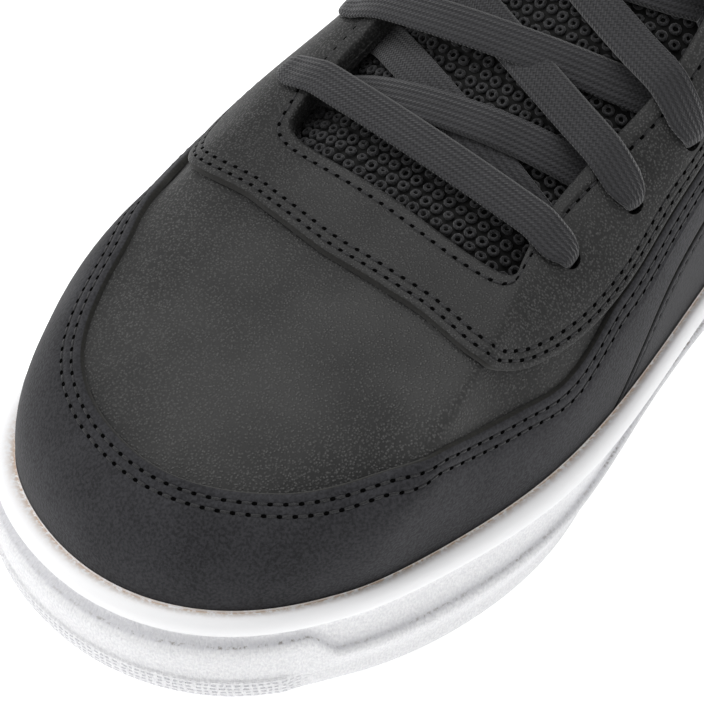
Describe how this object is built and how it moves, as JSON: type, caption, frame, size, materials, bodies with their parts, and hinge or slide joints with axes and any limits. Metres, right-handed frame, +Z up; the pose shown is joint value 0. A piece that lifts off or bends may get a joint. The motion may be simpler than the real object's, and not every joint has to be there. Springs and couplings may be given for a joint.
{
  "type": "motorcycle riding shoe",
  "caption": "Low lace-up riding shoe in black leather: hollow lasted upper with toe guard, eyestay and heel overlay, mesh tongue and flat laces on a white moulded cup sole.",
  "frame": {"origin": "on the floor, at the middle of the sole's plan box", "axes": "+X from the heel to the toe, +Y to the wearer's left, which is the medial side of this right shoe, +Z up"},
  "size_m": [0.319, 0.122, 0.1527],
  "materials": {
    "white_rubber": "matt moulded",
    "insole_foam": "matt woven top cloth",
    "black_leather": "fine pebble grain, low sheen",
    "eyestay_leather": "fine grain, low sheen",
    "black_nubuck": "nubuck, matt",
    "spacer_mesh": "open mesh, matt",
    "lace_cloth": "flat weave, matt"
  },
  "bodies": {
    "root": {"sole": "white_rubber", "insole": "insole_foam", "upper": "black_leather", "eyestay": "eyestay_leather", "toe_guard": "black_nubuck", "foxing": "black_nubuck", "tongue": "spacer_mesh", "lace_bar": "lace_cloth", "lace_cross_1": "lace_cloth", "lace_cross_2": "lace_cloth", "lace_cross_3": "lace_cloth", "lace_cross_4": "lace_cloth"}
  },
  "joints": []
}
